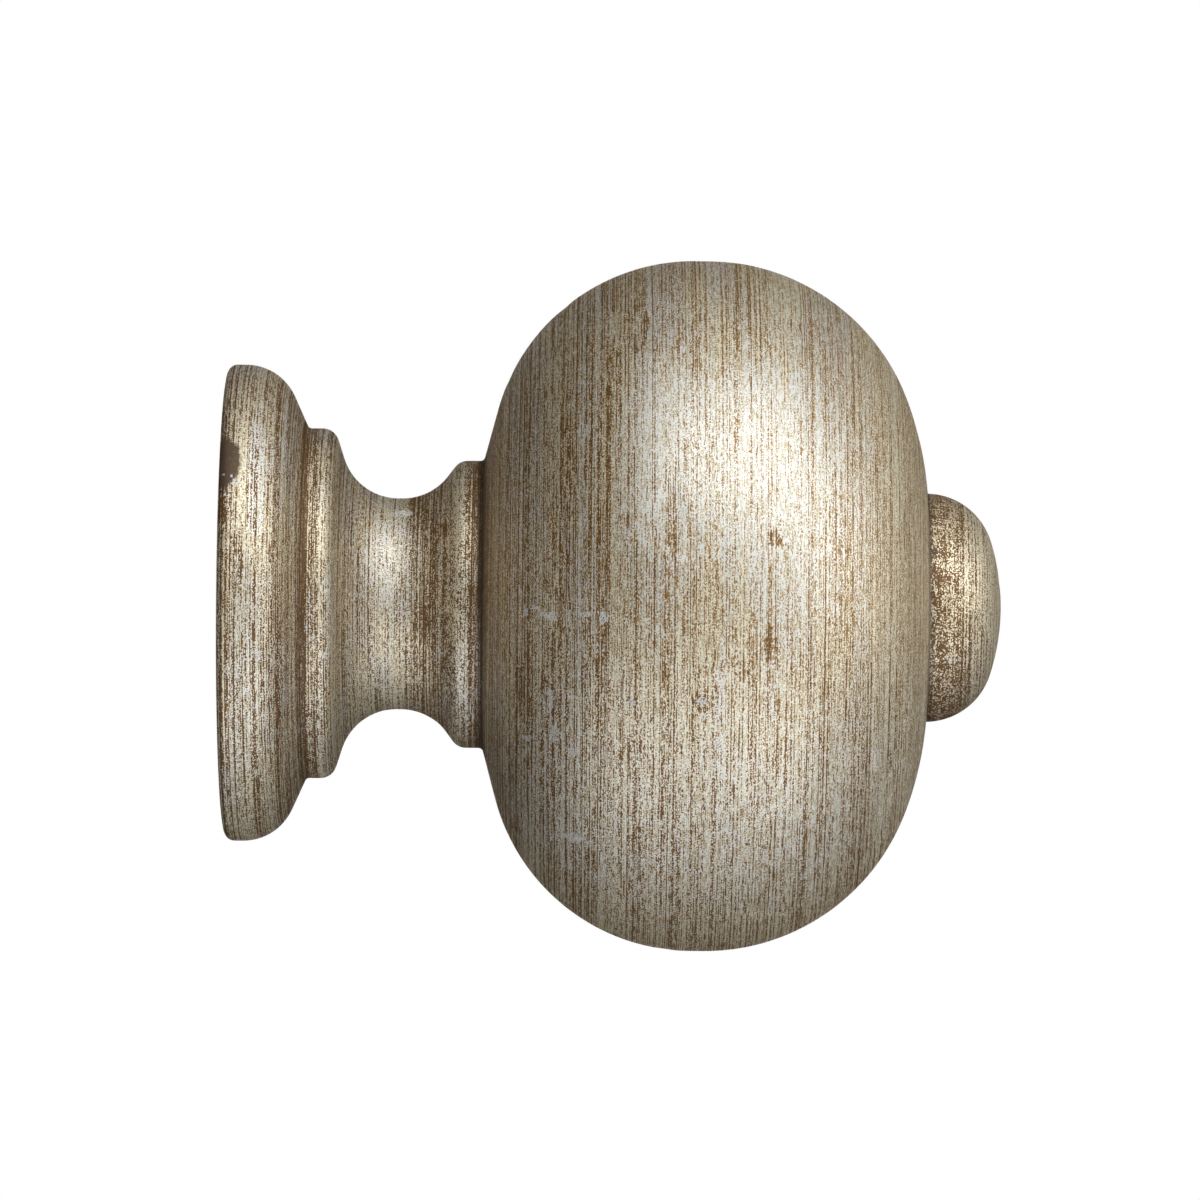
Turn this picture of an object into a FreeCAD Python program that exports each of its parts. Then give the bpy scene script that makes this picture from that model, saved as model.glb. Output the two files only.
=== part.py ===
import FreeCAD, Part
import math
import os
from types import SimpleNamespace

import Sketcher

# Curtain pole finial, turned from one blank of wood on a lathe.
# The pole's end meets the flat back of the base at x = 0, and the lathe's axis is +X, away from the pole.
# Along it come the base, a collar, a cove down to the neck, a small collar, the ball and its knob.

# Driving sizes in millimetres and degrees, each with what it measures.
SIZES = [
    ("base_diameter", 60.0, "across the rim of the base"),
    ("base_edge_round", 1.2, "rounding where the rim meets the flat back"),
    ("base_land", 1.1, "straight run of the rim, along the axis"),
    ("base_round", 6.65, "radius of the quarter round on the base"),
    ("ramp_height", 3.7, "straight ramp down from the quarter round, along the radius"),
    ("base_step", 7.95, "from the rim down to the collar, along the radius"),
    ("collar_width", 1.4, "straight run of the collar, along the axis"),
    ("collar_edge_round", 2.0, "rounding of the collar's corner"),
    ("collar_flank_height", 2.4, "straight flank down from the collar, along the radius"),
    ("cove_depth", 8.75, "from the collar down to the neck, along the radius"),
    ("cove_radius", 7.2, "radius of the cove on both sides of the neck"),
    ("neck_land", 0.5, "straight run at the bottom of the cove, along the axis"),
    ("small_collar_height", 4.8, "from the neck up to the small collar, along the radius"),
    ("small_collar_flank_height", 1.1, "straight flank up to the small collar, along the radius"),
    ("small_collar_edge_round", 2.0, "rounding of the small collar's corner"),
    ("small_collar_width", 1.6, "straight run of the small collar, along the axis"),
    ("crease_fillet", 0.6, "fillet in the two inner corners, beside the base and beside the ball"),
    ("ball_diameter", 86.9, "across the crown of the ball"),
    ("ball_face_height", 5.9, "straight face of the ball above the small collar, along the radius"),
    ("ball_pole_side_round", 25.6, "radius of the ball's shoulder towards the pole"),
    ("ball_crown_land", 1.65, "straight run at the crown of the ball, along the axis"),
    ("ball_knob_side_round", 26.9, "radius of the ball's shoulder towards the knob"),
    ("ball_end_round", 40.0, "radius of the flatter end of the ball around the knob"),
    ("ball_end_height", 12.0, "flatter end of the ball, from the knob outwards, along the radius"),
    ("knob_diameter", 28.8, "across the knob where it leaves the ball"),
    ("knob_edge_round", 8.5, "radius of the knob's rounded edge"),
    ("knob_dome_radius", 28.0, "radius of the knob's domed end"),
    ("screw_hole_diameter", 6.5, "pilot hole for the dowel screw"),
    ("screw_hole_depth", 30.0, "pilot hole, from the back of the base to the end of its straight wall"),
    ("drill_point_angle", 118.0, "full angle of the cone that the drill leaves"),
]

# Sketcher's numbers for the points of a curve, and for the sketch's own horizontal axis,
# which starts at the sketch's origin.
START, END, CENTRE = 1, 2, 3
TURNING_AXIS = -1

# Directions, from an arc's centre, of its top, its bottom and its side towards the pole.
TOP, BOTTOM, POLE_SIDE = math.pi / 2, -math.pi / 2, math.pi


def make_sheet(doc):
    """The spreadsheet that holds the driving sizes, one named cell each."""
    sheet = doc.addObject("Spreadsheet::Sheet", "sizes")
    for row, (alias, value, meaning) in enumerate(SIZES, start=1):
        sheet.set(f"A{row}", alias)
        sheet.set(f"B{row}", str(value))
        sheet.set(f"C{row}", meaning)
        sheet.setAlias(f"B{row}", alias)
    doc.recompute()
    return sheet


def origin_plane(body, role):
    return next(feature for feature in body.Origin.OriginFeatures if feature.Role == role)


def new_sketch(body, name, plane_role):
    sketch = body.newObject("Sketcher::SketchObject", name)
    sketch.AttachmentSupport = (origin_plane(body, plane_role), [""])
    sketch.MapMode = "FlatFace"
    return sketch


def shared_turn(first_radius, second_radius, height):
    """Angle that two opposite arcs, one after the other, turn through while they cover height together."""
    return math.acos(1 - height / (first_radius + second_radius))


def work_out_section(sheet):
    """Points, as (x, radius), and arc angles of half of the finial's long section, from base to knob."""
    at = SimpleNamespace()

    # Base: flat back, rounded edge, rim, quarter round, ramp and the crease beside the collar.
    at.rim = sheet.base_diameter / 2
    at.collar = at.rim - sheet.base_step
    at.edge_centre = (sheet.base_edge_round, at.rim - sheet.base_edge_round)
    at.rim_end = sheet.base_edge_round + sheet.base_land
    at.base_turn = shared_turn(sheet.base_round, sheet.crease_fillet, sheet.base_step - sheet.ramp_height)
    ramp_foot_radius = at.collar + sheet.crease_fillet * (1 - math.cos(at.base_turn))
    at.ramp_top = (
        at.rim_end + sheet.base_round * math.sin(at.base_turn),
        ramp_foot_radius + sheet.ramp_height,
    )
    at.ramp_foot = (at.ramp_top[0] + sheet.ramp_height / math.tan(at.base_turn), ramp_foot_radius)
    at.collar_start = at.ramp_foot[0] + sheet.crease_fillet * math.sin(at.base_turn)

    # Collar with its rounded corner and flank, then the cove down to the neck.
    at.collar_end = at.collar_start + sheet.collar_width
    at.neck = at.collar - sheet.cove_depth
    at.collar_turn = shared_turn(
        sheet.collar_edge_round, sheet.cove_radius, sheet.cove_depth - sheet.collar_flank_height
    )
    at.flank_top = (
        at.collar_end + sheet.collar_edge_round * math.sin(at.collar_turn),
        at.collar - sheet.collar_edge_round * (1 - math.cos(at.collar_turn)),
    )
    at.flank_foot = (
        at.flank_top[0] + sheet.collar_flank_height / math.tan(at.collar_turn),
        at.flank_top[1] - sheet.collar_flank_height,
    )
    at.neck_start = at.flank_foot[0] + sheet.cove_radius * math.sin(at.collar_turn)
    at.neck_end = at.neck_start + sheet.neck_land

    # Cove up to the small collar, with its flank and rounded corner, and the crease beside the ball.
    at.small_collar = at.neck + sheet.small_collar_height
    at.small_turn = shared_turn(
        sheet.cove_radius,
        sheet.small_collar_edge_round,
        sheet.small_collar_height - sheet.small_collar_flank_height,
    )
    at.small_foot = (
        at.neck_end + sheet.cove_radius * math.sin(at.small_turn),
        at.neck + sheet.cove_radius * (1 - math.cos(at.small_turn)),
    )
    at.small_top = (
        at.small_foot[0] + sheet.small_collar_flank_height / math.tan(at.small_turn),
        at.small_foot[1] + sheet.small_collar_flank_height,
    )
    at.small_start = at.small_top[0] + sheet.small_collar_edge_round * math.sin(at.small_turn)
    at.small_end = at.small_start + sheet.small_collar_width

    # Ball: straight face, shoulder, crown, shoulder and flatter end.
    at.crown = sheet.ball_diameter / 2
    at.pole_turn = shared_turn(
        sheet.crease_fillet,
        sheet.ball_pole_side_round,
        at.crown - at.small_collar - sheet.ball_face_height,
    )
    at.face_foot = (
        at.small_end + sheet.crease_fillet * math.sin(at.pole_turn),
        at.small_collar + sheet.crease_fillet * (1 - math.cos(at.pole_turn)),
    )
    at.face_top = (
        at.face_foot[0] + sheet.ball_face_height / math.tan(at.pole_turn),
        at.face_foot[1] + sheet.ball_face_height,
    )
    at.crown_start = at.face_top[0] + sheet.ball_pole_side_round * math.sin(at.pole_turn)
    at.crown_end = at.crown_start + sheet.ball_crown_land
    at.knob = sheet.knob_diameter / 2
    end_top = at.knob + sheet.ball_end_height
    at.knob_turn = math.acos(1 - (at.crown - end_top) / sheet.ball_knob_side_round)
    at.end_centre = (
        at.crown_end + (sheet.ball_knob_side_round - sheet.ball_end_round) * math.sin(at.knob_turn),
        end_top - sheet.ball_end_round * math.cos(at.knob_turn),
    )
    at.end_turn = math.acos((at.knob - at.end_centre[1]) / sheet.ball_end_round)

    # Knob: rounded edge that leaves the ball along the axis, then a dome about the axis.
    knob_start = at.end_centre[0] + sheet.ball_end_round * math.sin(at.end_turn)
    at.knob_centre = (knob_start, at.knob - sheet.knob_edge_round)
    dome_reach = sheet.knob_dome_radius - sheet.knob_edge_round
    at.dome_turn = math.asin(at.knob_centre[1] / dome_reach)
    at.dome_centre = (knob_start - dome_reach * math.cos(at.dome_turn), 0)
    at.tip = (at.dome_centre[0] + sheet.knob_dome_radius, 0)
    return at


def draw_section(sketch, sheet, at):
    """The section's lines and arcs, in order from the back round to the axis. Returns their numbers."""

    def line(start, end):
        return sketch.addGeometry(Part.LineSegment(FreeCAD.Vector(*start), FreeCAD.Vector(*end)), False)

    def arc(centre, radius, low, high):
        circle = Part.Circle(FreeCAD.Vector(*centre), FreeCAD.Vector(0, 0, 1), radius)
        return sketch.addGeometry(Part.ArcOfCircle(circle, low, high), False)

    def under(x, top, radius, low, high):
        """A convex arc whose top is at (x, top)."""
        return arc((x, top - radius), radius, low, high)

    def over(x, bottom, radius, low, high):
        """A hollow arc whose bottom is at (x, bottom)."""
        return arc((x, bottom + radius), radius, low, high)

    fillet, cove = sheet.crease_fillet, sheet.cove_radius
    curve = SimpleNamespace()
    curve.back = line((0, 0), (0, at.edge_centre[1]))
    curve.base_edge = arc(at.edge_centre, sheet.base_edge_round, TOP, POLE_SIDE)
    curve.rim = line((sheet.base_edge_round, at.rim), (at.rim_end, at.rim))
    curve.quarter = under(at.rim_end, at.rim, sheet.base_round, TOP - at.base_turn, TOP)
    curve.ramp = line(at.ramp_top, at.ramp_foot)
    curve.base_crease = over(at.collar_start, at.collar, fillet, BOTTOM - at.base_turn, BOTTOM)
    curve.collar = line((at.collar_start, at.collar), (at.collar_end, at.collar))
    curve.collar_edge = under(at.collar_end, at.collar, sheet.collar_edge_round, TOP - at.collar_turn, TOP)
    curve.flank = line(at.flank_top, at.flank_foot)
    curve.collar_cove = over(at.neck_start, at.neck, cove, BOTTOM - at.collar_turn, BOTTOM)
    curve.neck = line((at.neck_start, at.neck), (at.neck_end, at.neck))
    curve.small_cove = over(at.neck_end, at.neck, cove, BOTTOM, BOTTOM + at.small_turn)
    curve.small_flank = line(at.small_foot, at.small_top)
    curve.small_edge = under(
        at.small_start, at.small_collar, sheet.small_collar_edge_round, TOP, TOP + at.small_turn
    )
    curve.small_collar = line((at.small_start, at.small_collar), (at.small_end, at.small_collar))
    curve.ball_crease = over(at.small_end, at.small_collar, fillet, BOTTOM, BOTTOM + at.pole_turn)
    curve.face = line(at.face_foot, at.face_top)
    curve.pole_side = under(at.crown_start, at.crown, sheet.ball_pole_side_round, TOP, TOP + at.pole_turn)
    curve.crown = line((at.crown_start, at.crown), (at.crown_end, at.crown))
    curve.knob_side = under(at.crown_end, at.crown, sheet.ball_knob_side_round, TOP - at.knob_turn, TOP)
    curve.ball_end = arc(at.end_centre, sheet.ball_end_round, TOP - at.end_turn, TOP - at.knob_turn)
    curve.knob_edge = arc(at.knob_centre, sheet.knob_edge_round, at.dome_turn, TOP)
    curve.dome = arc(at.dome_centre, sheet.knob_dome_radius, 0, at.dome_turn)
    curve.axis = line(at.tip, (0, 0))
    return curve


def join_section(sketch, curve):
    """Closes the section: smooth all along, with a plain corner only where the knob leaves the ball."""

    def fix(*constraint):
        sketch.addConstraint(Sketcher.Constraint(*constraint))

    for first, first_end, second, second_end in [
        (curve.back, START, TURNING_AXIS, START),
        (curve.ball_end, START, curve.knob_edge, END),
        (curve.dome, START, curve.axis, START),
        (curve.axis, END, curve.back, START),
    ]:
        fix("Coincident", first, first_end, second, second_end)
    for first, first_end, second, second_end in [
        (curve.back, END, curve.base_edge, END),
        (curve.base_edge, START, curve.rim, START),
        (curve.rim, END, curve.quarter, END),
        (curve.quarter, START, curve.ramp, START),
        (curve.ramp, END, curve.base_crease, START),
        (curve.base_crease, END, curve.collar, START),
        (curve.collar, END, curve.collar_edge, END),
        (curve.collar_edge, START, curve.flank, START),
        (curve.flank, END, curve.collar_cove, START),
        (curve.collar_cove, END, curve.neck, START),
        (curve.neck, END, curve.small_cove, START),
        (curve.small_cove, END, curve.small_flank, START),
        (curve.small_flank, END, curve.small_edge, END),
        (curve.small_edge, START, curve.small_collar, START),
        (curve.small_collar, END, curve.ball_crease, START),
        (curve.ball_crease, END, curve.face, START),
        (curve.face, END, curve.pole_side, END),
        (curve.pole_side, START, curve.crown, START),
        (curve.crown, END, curve.knob_side, END),
        (curve.knob_side, START, curve.ball_end, END),
        (curve.knob_edge, START, curve.dome, END),
    ]:
        fix("Tangent", first, first_end, second, second_end)
    for along_axis in (curve.rim, curve.collar, curve.neck, curve.small_collar, curve.crown, curve.axis):
        fix("Horizontal", along_axis)
    fix("Vertical", curve.back)
    fix("Vertical", curve.knob_edge, CENTRE, curve.knob_edge, END)
    fix("PointOnObject", curve.dome, CENTRE, TURNING_AXIS)
    fix("Equal", curve.collar_cove, curve.small_cove)
    fix("Equal", curve.base_crease, curve.ball_crease)


def size_section(sketch, curve):
    """Ties every dimension of the section to its cell of the sheet."""

    def size(expression, kind, *where):
        value = sketch.evalExpression(expression)
        index = sketch.addConstraint(Sketcher.Constraint(kind, *where, float(value)))
        sketch.setExpression(f"Constraints[{index}]", expression)

    for expression, low, low_end, high, high_end in [
        ("sizes.base_diameter / 2", curve.back, START, curve.rim, START),
        ("sizes.base_step", curve.collar, START, curve.rim, START),
        ("sizes.ramp_height", curve.ramp, END, curve.ramp, START),
        ("sizes.cove_depth", curve.neck, START, curve.collar, START),
        ("sizes.collar_flank_height", curve.flank, END, curve.flank, START),
        ("sizes.small_collar_height", curve.neck, START, curve.small_collar, START),
        ("sizes.small_collar_flank_height", curve.small_flank, START, curve.small_flank, END),
        ("sizes.ball_face_height", curve.face, START, curve.face, END),
        ("sizes.ball_diameter / 2", curve.back, START, curve.crown, START),
        ("sizes.ball_end_height", curve.ball_end, START, curve.ball_end, END),
        ("sizes.knob_diameter / 2", curve.back, START, curve.knob_edge, END),
    ]:
        size(expression, "DistanceY", low, low_end, high, high_end)
    for expression, straight_run in [
        ("sizes.base_land", curve.rim),
        ("sizes.collar_width", curve.collar),
        ("sizes.neck_land", curve.neck),
        ("sizes.small_collar_width", curve.small_collar),
        ("sizes.ball_crown_land", curve.crown),
    ]:
        size(expression, "DistanceX", straight_run, START, straight_run, END)
    for expression, rounding in [
        ("sizes.base_edge_round", curve.base_edge),
        ("sizes.base_round", curve.quarter),
        ("sizes.crease_fillet", curve.base_crease),
        ("sizes.collar_edge_round", curve.collar_edge),
        ("sizes.cove_radius", curve.collar_cove),
        ("sizes.small_collar_edge_round", curve.small_edge),
        ("sizes.ball_pole_side_round", curve.pole_side),
        ("sizes.ball_knob_side_round", curve.knob_side),
        ("sizes.ball_end_round", curve.ball_end),
        ("sizes.knob_edge_round", curve.knob_edge),
        ("sizes.knob_dome_radius", curve.dome),
    ]:
        size(expression, "Radius", rounding)


def turn_blank(doc, body, sheet):
    """The section, drawn and sized, and the solid that it sweeps out about the lathe's axis."""
    sketch = new_sketch(body, "section", "XZ_Plane")
    curve = draw_section(sketch, sheet, work_out_section(sheet))
    join_section(sketch, curve)
    size_section(sketch, curve)
    doc.recompute()

    turning = body.newObject("PartDesign::Revolution", "turning")
    turning.Profile = sketch
    turning.ReferenceAxis = (sketch, ["H_Axis"])
    turning.Angle = 360
    doc.recompute()


def drill_screw_hole(doc, body, sheet):
    """The blind pilot hole in the back of the base, for the dowel screw that joins finial and pole."""
    volume_before = body.Shape.Volume
    mark = new_sketch(body, "screw_hole_mark", "YZ_Plane")
    ring = Part.Circle(FreeCAD.Vector(), FreeCAD.Vector(0, 0, 1), sheet.screw_hole_diameter / 2)
    circle = mark.addGeometry(ring)
    mark.addConstraint(Sketcher.Constraint("Coincident", circle, CENTRE, TURNING_AXIS, START))
    diameter = mark.addConstraint(Sketcher.Constraint("Diameter", circle, sheet.screw_hole_diameter))
    mark.setExpression(f"Constraints[{diameter}]", "sizes.screw_hole_diameter")
    doc.recompute()

    hole = body.newObject("PartDesign::Hole", "screw_hole")
    hole.Profile = mark
    doc.recompute()
    hole.ThreadType = "None"
    hole.DepthType = "Dimension"
    hole.DrillPoint = "Angled"
    hole.HoleCutType = "None"
    hole.Reversed = True
    hole.setExpression("Diameter", "sizes.screw_hole_diameter")
    hole.setExpression("Depth", "sizes.screw_hole_depth")
    hole.setExpression("DrillPointAngle", "sizes.drill_point_angle")
    doc.recompute()

    drilled = volume_before - body.Shape.Volume
    straight_wall = math.pi * (sheet.screw_hole_diameter / 2) ** 2 * sheet.screw_hole_depth
    if drilled < straight_wall:
        raise RuntimeError(f"the screw hole took away {drilled:.1f} mm3, less than its straight wall")


def build_finial(doc, sheet):
    """The whole finial: one turned solid with its screw hole drilled."""
    body = doc.addObject("PartDesign::Body", "finial")
    body.Label = "finial"
    body.Placement = FreeCAD.Placement()
    turn_blank(doc, body, sheet)
    drill_screw_hole(doc, body, sheet)
    return body


def check_document(doc, bodies):
    for item in doc.Objects:
        if "Invalid" in item.State or "Error" in item.State:
            raise RuntimeError(f"{item.Name} failed: {item.State}")
    for body in bodies:
        if body.Shape.isNull() or not body.Shape.isValid():
            raise RuntimeError(f"{body.Label} has no valid shape")


def export_parts(bodies):
    os.makedirs("parts", exist_ok=True)
    for body in bodies:
        body.Shape.exportStep(f"parts/{body.Label}.step")
        box = body.Shape.optimalBoundingBox()
        print(
            f"{body.Label}: {len(body.Shape.Solids)} solid, volume {body.Shape.Volume / 1000:.1f} cm3,"
            f" {box.XLength:.2f} x {box.YLength:.2f} x {box.ZLength:.2f} mm"
        )


document = FreeCAD.newDocument("curtain_pole_finial")
finial = build_finial(document, make_sheet(document))
check_document(document, [finial])
export_parts([finial])
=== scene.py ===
import math

import bpy
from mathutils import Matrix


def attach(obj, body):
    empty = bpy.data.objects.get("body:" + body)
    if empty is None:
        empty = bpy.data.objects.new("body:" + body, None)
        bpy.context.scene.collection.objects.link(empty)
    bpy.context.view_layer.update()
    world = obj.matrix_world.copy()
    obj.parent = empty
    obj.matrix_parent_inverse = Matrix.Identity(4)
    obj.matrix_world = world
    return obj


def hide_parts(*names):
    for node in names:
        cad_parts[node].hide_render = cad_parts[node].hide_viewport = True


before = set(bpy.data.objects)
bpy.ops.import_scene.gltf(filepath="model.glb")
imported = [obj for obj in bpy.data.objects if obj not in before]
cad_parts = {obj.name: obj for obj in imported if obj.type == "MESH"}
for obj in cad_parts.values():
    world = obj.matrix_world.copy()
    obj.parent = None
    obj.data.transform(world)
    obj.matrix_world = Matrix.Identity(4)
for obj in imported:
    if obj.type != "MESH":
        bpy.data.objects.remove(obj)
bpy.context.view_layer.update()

# The finial
# The real one is one blank of wood, turned on a lathe to a moulded base, a waisted neck, a ball and a knob.
# It is stained brown, covered in silver leaf and rubbed back, so that the brown shows in fine turned lines.
# A dowel screw in the hole of its flat back fixes it to the end of a wooden pole.
mm = 0.001
base_diameter = 60.0 * mm
base_edge_round = 1.2 * mm
base_land = 1.1 * mm
base_round = 6.65 * mm
ramp_height = 3.7 * mm
base_step = 7.95 * mm
collar_width = 1.4 * mm
collar_edge_round = 2.0 * mm
collar_flank_height = 2.4 * mm
cove_depth = 8.75 * mm
cove_radius = 7.2 * mm
neck_land = 0.5 * mm
small_collar_height = 4.8 * mm
small_collar_flank_height = 1.1 * mm
small_collar_edge_round = 2.0 * mm
small_collar_width = 1.6 * mm
crease_fillet = 0.6 * mm
ball_diameter = 86.9 * mm
ball_face_height = 5.9 * mm
ball_pole_side_round = 25.6 * mm
ball_crown_land = 1.65 * mm
ball_knob_side_round = 26.9 * mm
ball_end_round = 40.0 * mm
ball_end_height = 12.0 * mm
knob_diameter = 28.8 * mm
knob_edge_round = 8.5 * mm
knob_dome_radius = 28.0 * mm
screw_hole_diameter = 6.5 * mm
screw_hole_depth = 30.0 * mm
drill_point_angle = math.radians(118.0)

# Longest step along the section: fine where the leaf shows, long in the hole and on the flat back.
shown_step = 0.62 * mm
hidden_step = 3.0 * mm
least_arc_steps = 5


def shared_turn(first_radius, second_radius, rise):
    """The angle that two touching arcs turn through when together they rise that far."""
    return math.acos(1.0 - rise / (first_radius + second_radius))


def cut_straight(section, x, r, longest):
    """Carries the section on in a straight cut to that place along and out from the axis."""
    last_x, last_r = section[-1]
    steps = max(1, math.ceil(math.hypot(x - last_x, r - last_r) / longest))
    for step in range(1, steps + 1):
        share = step / steps
        section.append((last_x + (x - last_x) * share, last_r + (r - last_r) * share))


def cut_round(section, centre_x, centre_r, radius, start, end):
    """Carries the section on round an arc; its angles go from straight out towards the knob."""
    steps = max(least_arc_steps, math.ceil(abs(end - start) * radius / shown_step))
    for step in range(1, steps + 1):
        angle = start + (end - start) * step / steps
        section.append((centre_x + radius * math.sin(angle), centre_r + radius * math.cos(angle)))


# The hole and the flat back.
rim = base_diameter / 2.0
hole = screw_hole_diameter / 2.0
drill_tip = screw_hole_depth + hole / math.tan(drill_point_angle / 2.0)
section = [(drill_tip, 0.0)]
cut_straight(section, screw_hole_depth, hole, hidden_step)
cut_straight(section, 0.0, hole, hidden_step)
cut_straight(section, 0.0, rim - base_edge_round, hidden_step)

# The base, its quarter round and its ramp down to the collar.
collar = rim - base_step
rim_end = base_edge_round + base_land
base_turn = shared_turn(base_round, crease_fillet, base_step - ramp_height)
ramp_foot_r = collar + crease_fillet * (1.0 - math.cos(base_turn))
ramp_foot_x = rim_end + base_round * math.sin(base_turn) + ramp_height / math.tan(base_turn)
collar_start = ramp_foot_x + crease_fillet * math.sin(base_turn)
collar_end = collar_start + collar_width
cut_round(section, base_edge_round, rim - base_edge_round, base_edge_round, -math.pi / 2.0, 0.0)
cut_straight(section, rim_end, rim, shown_step)
cut_round(section, rim_end, rim - base_round, base_round, 0.0, base_turn)
cut_straight(section, ramp_foot_x, ramp_foot_r, shown_step)
cut_round(section, collar_start, collar + crease_fillet, crease_fillet, math.pi + base_turn, math.pi)
cut_straight(section, collar_end, collar, shown_step)

# The collar's edge and the cove of the neck.
neck = collar - cove_depth
collar_turn = shared_turn(collar_edge_round, cove_radius, cove_depth - collar_flank_height)
flank_top_x = collar_end + collar_edge_round * math.sin(collar_turn)
flank_top_r = collar - collar_edge_round * (1.0 - math.cos(collar_turn))
flank_foot_x = flank_top_x + collar_flank_height / math.tan(collar_turn)
neck_start = flank_foot_x + cove_radius * math.sin(collar_turn)
neck_end = neck_start + neck_land
cut_round(section, collar_end, collar - collar_edge_round, collar_edge_round, 0.0, collar_turn)
cut_straight(section, flank_foot_x, flank_top_r - collar_flank_height, shown_step)
cut_round(section, neck_start, neck + cove_radius, cove_radius, math.pi + collar_turn, math.pi)
cut_straight(section, neck_end, neck, shown_step)

# The small collar at the ball's foot.
small_collar = neck + small_collar_height
small_collar_edge_r = small_collar - small_collar_edge_round
small_rise = small_collar_height - small_collar_flank_height
small_turn = shared_turn(cove_radius, small_collar_edge_round, small_rise)
small_foot_x = neck_end + cove_radius * math.sin(small_turn)
small_foot_r = neck + cove_radius * (1.0 - math.cos(small_turn))
small_top_x = small_foot_x + small_collar_flank_height / math.tan(small_turn)
small_start = small_top_x + small_collar_edge_round * math.sin(small_turn)
small_end = small_start + small_collar_width
cut_round(section, neck_end, neck + cove_radius, cove_radius, math.pi, math.pi - small_turn)
cut_straight(section, small_top_x, small_foot_r + small_collar_flank_height, shown_step)
cut_round(section, small_start, small_collar_edge_r, small_collar_edge_round, -small_turn, 0.0)
cut_straight(section, small_end, small_collar, shown_step)

# The ball, from its flat face by the collar over its two shoulders to the knob.
crown = ball_diameter / 2.0
knob = knob_diameter / 2.0
pole_turn = shared_turn(crease_fillet, ball_pole_side_round, crown - small_collar - ball_face_height)
face_foot_x = small_end + crease_fillet * math.sin(pole_turn)
face_foot_r = small_collar + crease_fillet * (1.0 - math.cos(pole_turn))
face_top_x = face_foot_x + ball_face_height / math.tan(pole_turn)
crown_start = face_top_x + ball_pole_side_round * math.sin(pole_turn)
crown_end = crown_start + ball_crown_land
end_top_r = knob + ball_end_height
knob_turn = math.acos(1.0 - (crown - end_top_r) / ball_knob_side_round)
end_centre_x = crown_end + (ball_knob_side_round - ball_end_round) * math.sin(knob_turn)
end_centre_r = end_top_r - ball_end_round * math.cos(knob_turn)
end_turn = math.acos((knob - end_centre_r) / ball_end_round)
cut_round(section, small_end, small_collar + crease_fillet, crease_fillet, math.pi, math.pi - pole_turn)
cut_straight(section, face_top_x, face_foot_r + ball_face_height, shown_step)
cut_round(section, crown_start, crown - ball_pole_side_round, ball_pole_side_round, -pole_turn, 0.0)
cut_straight(section, crown_end, crown, shown_step)
cut_round(section, crown_end, crown - ball_knob_side_round, ball_knob_side_round, 0.0, knob_turn)
cut_round(section, end_centre_x, end_centre_r, ball_end_round, knob_turn, end_turn)

# The knob, which a dome closes on the axis.
knob_start = end_centre_x + ball_end_round * math.sin(end_turn)
dome_reach = knob_dome_radius - knob_edge_round
dome_turn = math.asin((knob - knob_edge_round) / dome_reach)
dome_centre_x = knob_start - dome_reach * math.cos(dome_turn)
length = dome_centre_x + knob_dome_radius
cut_round(section, knob_start, knob - knob_edge_round, knob_edge_round, 0.0, math.pi / 2.0 - dome_turn)
cut_round(section, dome_centre_x, 0.0, knob_dome_radius, math.pi / 2.0 - dome_turn, math.pi / 2.0)


def join(tree, socket, value):
    """Links another node's output to the socket, or sets the socket to a plain value."""
    if isinstance(value, bpy.types.NodeSocket):
        tree.links.new(value, socket)
    else:
        socket.default_value = value


def add(tree, kind, inputs, **settings):
    """A new node of the tree with its settings made and its inputs set or linked."""
    node = tree.nodes.new(kind)
    for name, value in settings.items():
        setattr(node, name, value)
    for name, value in inputs.items():
        join(tree, node.inputs[name], value)
    return node


def reckon(tree, operation, *values):
    """The result of a Math node on those values."""
    return add(tree, "ShaderNodeMath", dict(enumerate(values)), operation=operation).outputs[0]


def total(tree, *shares):
    """The sum of values, each given with its weight."""
    result = 0.0
    for weight, value in shares:
        result = reckon(tree, "MULTIPLY_ADD", value, weight, result)
    return result


def rise(tree, value, low, high):
    """A soft step that is 0 up to low and 1 from high."""
    inputs = {"Value": value, "From Min": low, "From Max": high}
    return add(tree, "ShaderNodeMapRange", inputs, interpolation_type="SMOOTHSTEP").outputs[0]


# The least distance from the axis, which keeps the turn about it defined there.
least_out = 0.001 * mm


def round_axis(tree, position):
    """Place along the axis, distance out from it, and the turn about it as cosine and sine."""
    parts = add(tree, "ShaderNodeSeparateXYZ", {0: position}).outputs
    up_squared = reckon(tree, "MULTIPLY", parts["Z"], parts["Z"])
    out_squared = reckon(tree, "MULTIPLY_ADD", parts["Y"], parts["Y"], up_squared)
    out = reckon(tree, "MAXIMUM", reckon(tree, "SQRT", out_squared), least_out)
    cosine = reckon(tree, "DIVIDE", parts["Y"], out)
    sine = reckon(tree, "DIVIDE", parts["Z"], out)
    return parts["X"], out, cosine, sine


def even_noise(tree, position, scale, detail):
    """Noise that is the same in every direction, with so many grains per metre."""
    inputs = {"Vector": position, "Scale": scale, "Detail": detail}
    return add(tree, "ShaderNodeTexNoise", inputs).outputs[0]


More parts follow.
